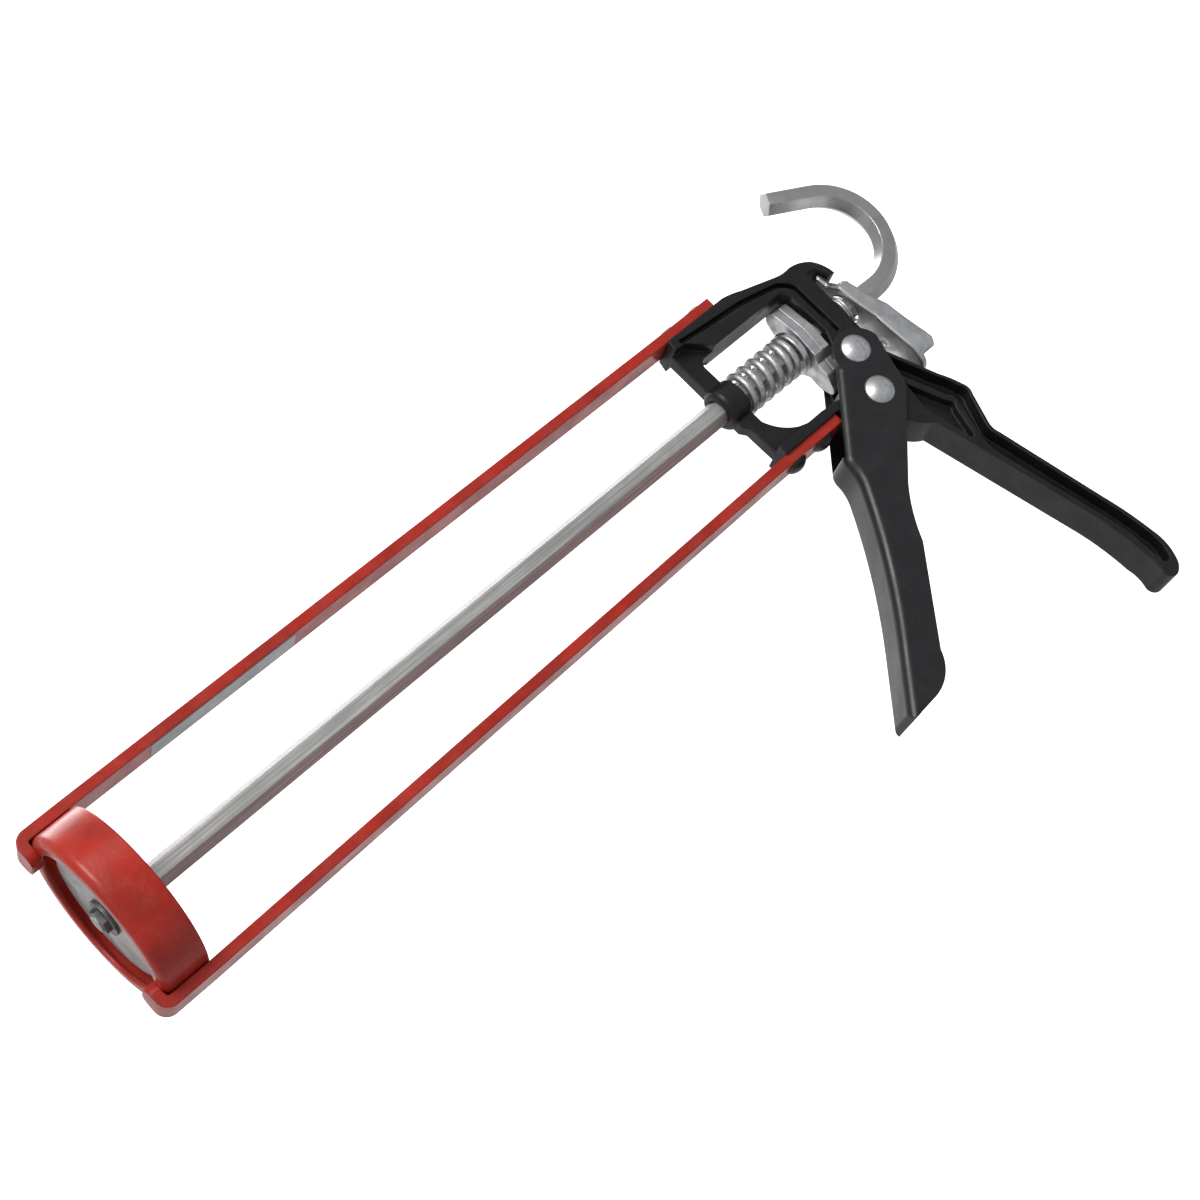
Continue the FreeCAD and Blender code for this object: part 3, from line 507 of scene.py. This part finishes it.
def plated(name, colour, roughness, cloud, nodes, edge_radius=0.0005):
    """Zinc plate with its streaks, clouds and small dark specks."""
    material, g, shader = new_material(name, 1.0, roughness)
    edges = place_group(g, "edges", Radius=edge_radius, Breakup=900.0, Amount=0.5)
    drawn = place_group(g, "drawn", Across=1100.0, Along=90.0, Cloud=cloud)
    dull = tuple(0.62 * c for c in colour)
    base = g.mix(drawn["Clouds"], with_alpha(colour), with_alpha(dull))
    specked = g.mix(g.math("MULTIPLY", drawn["Specks"], 0.25), base, DARK_SPECK)
    g.join(g.mix(edges["Mask"], specked, BRIGHT_EDGE), shader["Base Color"])
    g.join(g.blend(drawn["Clouds"], roughness - 0.07, roughness + 0.13), shader["Roughness"])
    bump(g, drawn["Streaks"], edges["Normal"], 0.1, 0.00004, shader["Normal"])
    dress(material, *nodes)


class CAULK_OT_plated(bpy.types.Operator):
    """Finish the rivets, washers, nut, spring seat and release plate in bright zinc"""

    bl_idname = "caulk.plated"
    bl_label = "Plated Pieces"

    def execute(self, context):
        look = context.scene.caulk_metal
        plated("Bright zinc rivets", tuple(look.bright), 0.4, 420.0,
               ("pivot_rivet", "drive_rivet", "upper_rail_rivets"))
        plated("Dull washers and nut", tuple(0.35 * c for c in look.steel), 0.5, 300.0,
               ("plunger_washers", "plunger_nut"))
        plated("Bright zinc seat", tuple(look.bright), 0.3, 300.0, ("spring_seat",))
        plated("Bright zinc pressing", tuple(look.bright), 0.33, 140.0, ("release_lever",),
               edge_radius=0.0016)
        return {"FINISHED"}


class CAULK_OT_rail_rivets(bpy.types.Operator):
    """Finish the painted rivets of the lower strip"""

    bl_idname = "caulk.rail_rivets"
    bl_label = "Lower Strip Rivets"

    def execute(self, context):
        look = context.scene.caulk_black
        material, g, shader = new_material("Dark rivet paint", 0.0, 0.4, coat=0.15)
        edges = place_group(g, "edges", Radius=0.0004, Breakup=900.0, Amount=0.4)
        skin = place_group(g, "skin", Grain=2000.0, Wave=420.0, Wave_Share=0.5)
        paint = g.mix(skin["Patches"], with_alpha(look.cast), RIVET_RED_TINGE)
        g.join(g.mix(edges["Mask"], paint, RIVET_EDGE), shader["Base Color"])
        g.join(g.blend(skin["Patches"], 0.44, 0.34), shader["Roughness"])
        bump(g, skin["Height"], edges["Normal"], 0.4, 0.0001, shader["Normal"])
        dress(material, "lower_rail_rivets")
        return {"FINISHED"}


class CAULK_OT_drive(bpy.types.Operator):
    """Finish the drive plates and roller in plain steel"""

    bl_idname = "caulk.drive"
    bl_label = "Drive Plates"

    def execute(self, context):
        look = context.scene.caulk_metal
        plated("Plain punched steel", tuple(look.steel), 0.46, 200.0,
               ("drive_plate_front", "drive_plate_rear", "drive_roller"))
        return {"FINISHED"}


def shortening_spring(node):
    """A copy of a CAD spring, hung on the frame in place of the hidden original."""
    source = NODES[node]
    piece = source.copy()
    piece.data = source.data.copy()
    piece.name = node + "_coil"
    bpy.context.scene.collection.objects.link(piece)
    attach(piece, "frame")
    low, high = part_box(node)
    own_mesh(piece)
    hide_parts(node)


class CAULK_OT_springs(bpy.types.Operator):
    """Finish the two springs in drawn wire and hang copies of them on the frame"""

    bl_idname = "caulk.springs"
    bl_label = "Springs"

    def execute(self, context):
        look = context.scene.caulk_metal
        plated("Drawn spring wire", tuple(look.steel), 0.46, 600.0,
               ("drive_spring", "release_spring"))
        shortening_spring("drive_spring")
        shortening_spring("release_spring")
        return {"FINISHED"}


class CAULK_OT_rod(bpy.types.Operator):
    """Finish the push rod in matt drawn zinc"""

    bl_idname = "caulk.rod"
    bl_label = "Push Rod"

    def execute(self, context):
        look = context.scene.caulk_metal
        material, g, shader = new_material("Matt drawn zinc", 0.6, 0.55)
        edges = place_group(g, "edges", Radius=0.0005, Breakup=800.0, Amount=0.6)
        drawn = place_group(g, "drawn", Across=1900.0, Along=26.0, Cloud=130.0)
        tone = tuple(look.rod)
        dull = tuple(0.6 * c for c in tone)
        place = g.add("ShaderNodeTexCoord").outputs["Object"]
        parts = g.add("ShaderNodeSeparateXYZ")
        g.join(place, parts.inputs[0])
        hook = g.spread(parts.outputs["X"], HOOK_START, HOOK_FULL)
        streaks = g.blend(hook, drawn["Streaks"], 0.6)
        streaked = g.mix(g.spread(streaks, 0.35, 0.65), with_alpha(dull), with_alpha(tone))
        clouded = g.mix(g.math("MULTIPLY", drawn["Clouds"], 0.4), streaked, with_alpha(dull))
        g.join(g.mix(edges["Mask"], clouded, ROD_EDGE), shader["Base Color"])
        drawn_rough = g.blend(streaks, 0.45, 0.65)
        g.join(g.blend(hook, drawn_rough, 0.3), shader["Roughness"])
        g.join(g.blend(hook, 0.6, 0.9), shader["Metallic"])
        bump(g, streaks, edges["Normal"], 0.15, 0.00005, shader["Normal"])
        dress(material, "plunger_rod")
        return {"FINISHED"}


class CAULK_OT_disc(bpy.types.Operator):
    """Finish the plunger disc in matt zinc with its turned rings"""

    bl_idname = "caulk.disc"
    bl_label = "Plunger Disc"

    def execute(self, context):
        look = context.scene.caulk_metal
        material, g, shader = new_material("Matt zinc disc", 1.0, 0.45)
        edges = place_group(g, "edges", Radius=0.0005, Breakup=700.0, Amount=0.6)
        drawn = place_group(g, "drawn", Across=500.0, Along=500.0, Cloud=110.0)
        place = g.add("ShaderNodeTexCoord").outputs["Object"]
        parts = g.add("ShaderNodeSeparateXYZ")
        g.join(place, parts.inputs[0])
        across = g.math("POWER", parts.outputs["Y"], 2.0)
        up = g.math("POWER", parts.outputs["Z"], 2.0)
        radius = g.math("SQRT", g.math("ADD", across, up))
        rings = g.add("ShaderNodeCombineXYZ")
        g.join(g.math("MULTIPLY", radius, 2600.0), rings.inputs["X"])
        turned = g.noise(rings.outputs[0], 1.0, detail=3.0)
        tone = tuple(look.rod)
        dull = tuple(0.6 * c for c in tone)
        base = g.mix(drawn["Clouds"], with_alpha(tone), with_alpha(dull))
        g.join(g.mix(edges["Mask"], base, DISC_EDGE), shader["Base Color"])
        g.join(g.blend(turned, 0.38, 0.56), shader["Roughness"])
        bump(g, turned, edges["Normal"], 0.3, 0.00005, shader["Normal"])
        dress(material, "plunger_disc")
        return {"FINISHED"}


def area_light(name, place, target, size, power):
    """A square soft light aimed at a point."""
    data = bpy.data.lights.new(name, "AREA")
    data.shape = "SQUARE"
    data.size = size
    data.energy = power
    lamp = bpy.data.objects.new(name, data)
    bpy.context.scene.collection.objects.link(lamp)
    lamp.location = place
    lamp.rotation_mode = "QUATERNION"
    lamp.rotation_quaternion = (Vector(target) - Vector(place)).to_track_quat("-Z", "Y")


class CAULK_OT_stage(bpy.types.Operator):
    """Set the pale floor, the soft studio lights and the camera"""

    bl_idname = "caulk.stage"
    bl_label = "Stage"

    def execute(self, context):
        look = context.scene.caulk_stage
        low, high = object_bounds()
        aim = (low + high) / 2
        mesh = bpy.data.meshes.new("floor")
        reach = 4.0
        far = high.y + look.floor_distance
        corners = [
            (-reach, far, -reach), (reach, far, -reach), (reach, far, reach), (-reach, far, reach),
        ]
        mesh.from_pydata(corners, [], [(0, 1, 2, 3)])
        mesh.update()
        floor = bpy.data.objects.new("floor", mesh)
        context.scene.collection.objects.link(floor)
        material, g, shader = new_material("Pale floor", 0.0, 0.8)
        dust = place_group(g, "dust", Scale=3.0, Amount=0.1)
        soft = tuple(0.97 * c for c in look.floor)
        g.join(g.mix(dust["Mask"], with_alpha(look.floor), with_alpha(soft)), shader["Base Color"])
        shader["Emission Strength"].default_value = 1.0
        seen = g.add("ShaderNodeLightPath").outputs["Is Camera Ray"]
        glow = g.mix(seen, FLOOR_GLOW_UNSEEN, FLOOR_GLOW_SEEN)
        g.join(glow, shader["Emission Color"])
        mesh.materials.append(material)
        floor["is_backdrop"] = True
        world = bpy.data.worlds.new("Studio")
        context.scene.world = world
        world.use_nodes = True
        w = Graph(world.node_tree)
        back = world.node_tree.nodes["Background"]
        seen = w.add("ShaderNodeLightPath").outputs["Is Camera Ray"]
        w.join(w.mix(seen, ROOM_GREY, WHITE), back.inputs["Color"])
        back.inputs["Strength"].default_value = 1.0
        area_light("key", (-0.25, -1.1, 0.85), aim, 0.7, 15.0)
        area_light("fill", (-0.9, -0.7, 0.2), aim, 0.8, 1.0)
        area_light("rear", (0.5, 0.6, 0.8), aim, 0.8, 8.0)
        data = bpy.data.cameras.new("camera")
        data.sensor_width = 36.0
        millimetres = 1000.0
        data.lens = look.lens * millimetres
        camera = bpy.data.objects.new("camera", data)
        context.scene.collection.objects.link(camera)
        camera.location = look.camera_place
        camera.rotation_euler = Euler(look.camera_turn, "XYZ")
        context.scene.camera = camera
        context.scene.view_settings.view_transform = "Standard"
        return {"FINISHED"}


STEPS = (
    CAULK_OT_groups,
    CAULK_OT_cradle,
    CAULK_OT_label,
    CAULK_OT_body,
    CAULK_OT_trigger,
    CAULK_OT_plated,
    CAULK_OT_rail_rivets,
    CAULK_OT_drive,
    CAULK_OT_springs,
    CAULK_OT_rod,
    CAULK_OT_disc,
    CAULK_OT_stage,
)
SETTINGS = (
    ("caulk_cradle", CradleSettings),
    ("caulk_black", BlackSettings),
    ("caulk_metal", MetalSettings),
    ("caulk_stage", StageSettings),
)


class CAULK_PT_panel(bpy.types.Panel):
    """Lists the settings and the steps that finish the caulking gun"""

    bl_idname = "CAULK_PT_panel"
    bl_label = "Caulking Gun"
    bl_space_type = "VIEW_3D"
    bl_region_type = "UI"
    bl_category = "Caulking Gun"

    def draw(self, context):
        for name, settings in SETTINGS:
            box = self.layout.box()
            group = getattr(context.scene, name)
            for key in settings.__annotations__:
                box.prop(group, key)
        for step in STEPS:
            self.layout.operator(step.bl_idname)


def register():
    """Registers the classes and hangs the settings on the scene."""
    for name, settings in SETTINGS:
        bpy.utils.register_class(settings)
        setattr(bpy.types.Scene, name, bpy.props.PointerProperty(type=settings))
    for step in STEPS:
        bpy.utils.register_class(step)
    bpy.utils.register_class(CAULK_PT_panel)


def unregister():
    """Takes the settings and classes away again."""
    bpy.utils.unregister_class(CAULK_PT_panel)
    for step in reversed(STEPS):
        bpy.utils.unregister_class(step)
    for name, settings in reversed(SETTINGS):
        delattr(bpy.types.Scene, name)
        bpy.utils.unregister_class(settings)


def main():
    """Runs every step in order."""
    register()
    for step in STEPS:
        group, name = step.bl_idname.split(".")
        getattr(getattr(bpy.ops, group), name)()


if __name__ == "__main__":
    main()
